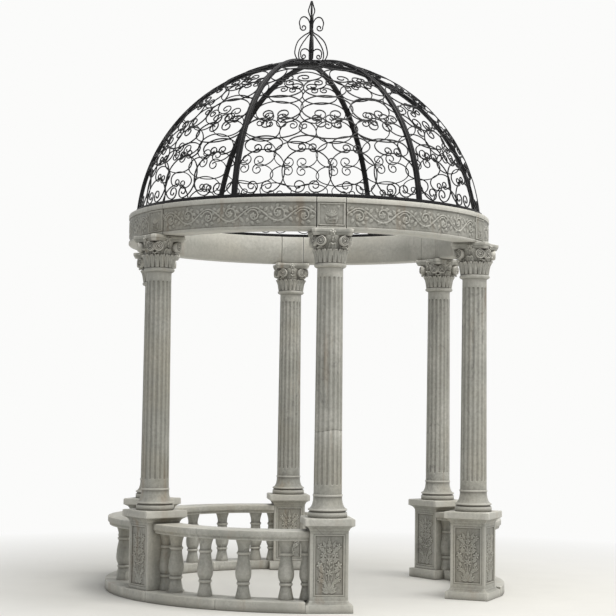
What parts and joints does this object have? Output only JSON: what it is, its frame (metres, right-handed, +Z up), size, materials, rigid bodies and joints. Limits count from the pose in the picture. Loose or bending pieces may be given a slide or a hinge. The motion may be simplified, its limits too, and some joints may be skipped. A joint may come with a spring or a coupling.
{
  "type": "garden gazebo",
  "caption": "Round garden gazebo: fluted stone columns on carved pedestals, curved balustrades, a carved ring beam and an open iron scrollwork dome with a finial.",
  "frame": {"origin": "on the ground, at the middle of the plan", "axes": "+Z up; a column stands on -Y, the entrance bay is centred 30 degrees from -Y towards +X"},
  "size_m": [3.3898, 3.3838, 5.087],
  "materials": {
    "marble": "honed grey-white marble with grey veins and weather stains",
    "iron": "wrought iron with black satin paint"
  },
  "bodies": {
    "root": {"pedestal_1": "marble", "pedestal_2": "marble", "pedestal_3": "marble", "pedestal_4": "marble", "pedestal_5": "marble", "pedestal_6": "marble", "base_stones": "marble", "column_1": "marble", "column_2": "marble", "column_3": "marble", "column_4": "marble", "column_5": "marble", "column_6": "marble", "capital_1": "marble", "capital_2": "marble", "capital_3": "marble", "capital_4": "marble", "capital_5": "marble", "capital_6": "marble", "ring_blocks": "marble", "frieze_1": "marble", "frieze_2": "marble", "frieze_3": "marble", "frieze_4": "marble", "frieze_5": "marble", "frieze_6": "marble", "curb_1": "marble", "curb_2": "marble", "curb_3": "marble", "curb_4": "marble", "balusters_1": "marble", "balusters_2": "marble", "balusters_3": "marble", "balusters_4": "marble", "handrail_1": "marble", "handrail_2": "marble", "handrail_3": "marble", "handrail_4": "marble", "dome_ring": "iron", "dome_ribs": "iron", "dome_scrolls_1": "iron", "dome_scrolls_2": "iron", "dome_scrolls_3": "iron", "dome_scrolls_4": "iron", "dome_scrolls_5": "iron", "dome_scrolls_6": "iron", "dome_crown": "iron", "finial": "iron"}
  },
  "joints": []
}
